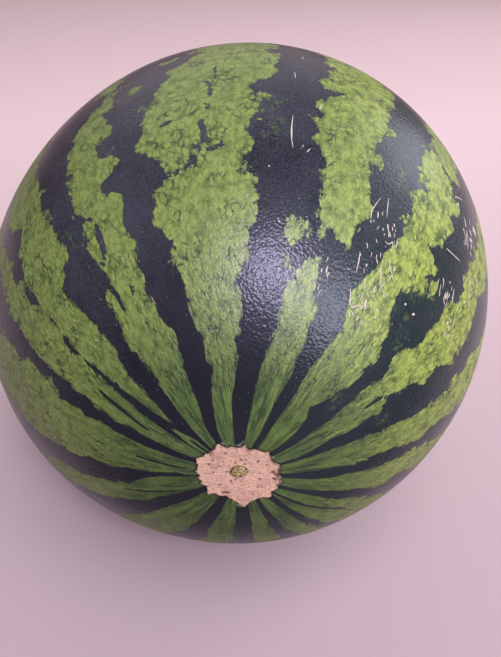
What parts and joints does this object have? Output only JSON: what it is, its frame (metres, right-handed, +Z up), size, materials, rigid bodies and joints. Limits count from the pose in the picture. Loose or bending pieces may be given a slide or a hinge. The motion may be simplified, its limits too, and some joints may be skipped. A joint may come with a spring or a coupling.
{
  "type": "watermelon",
  "caption": "Whole round striped watermelon lying on its side, with a corky blossom scar at one end and a shallow stem dimple at the other.",
  "frame": {"origin": "under the middle of the fruit, on the surface that it rests on", "axes": "+Z up; the stem-to-blossom axis lies along Y, with the blossom end towards -Y and the stem end towards +Y"},
  "size_m": [0.2522, 0.2536, 0.245],
  "materials": {
    "rind": "waxy satin melon rind, light green lobed stripes on blackish green, procedural in the visual model",
    "cork": "dry pinkish tan corky scar tissue"
  },
  "bodies": {
    "root": {"watermelon": "rind"}
  },
  "joints": []
}
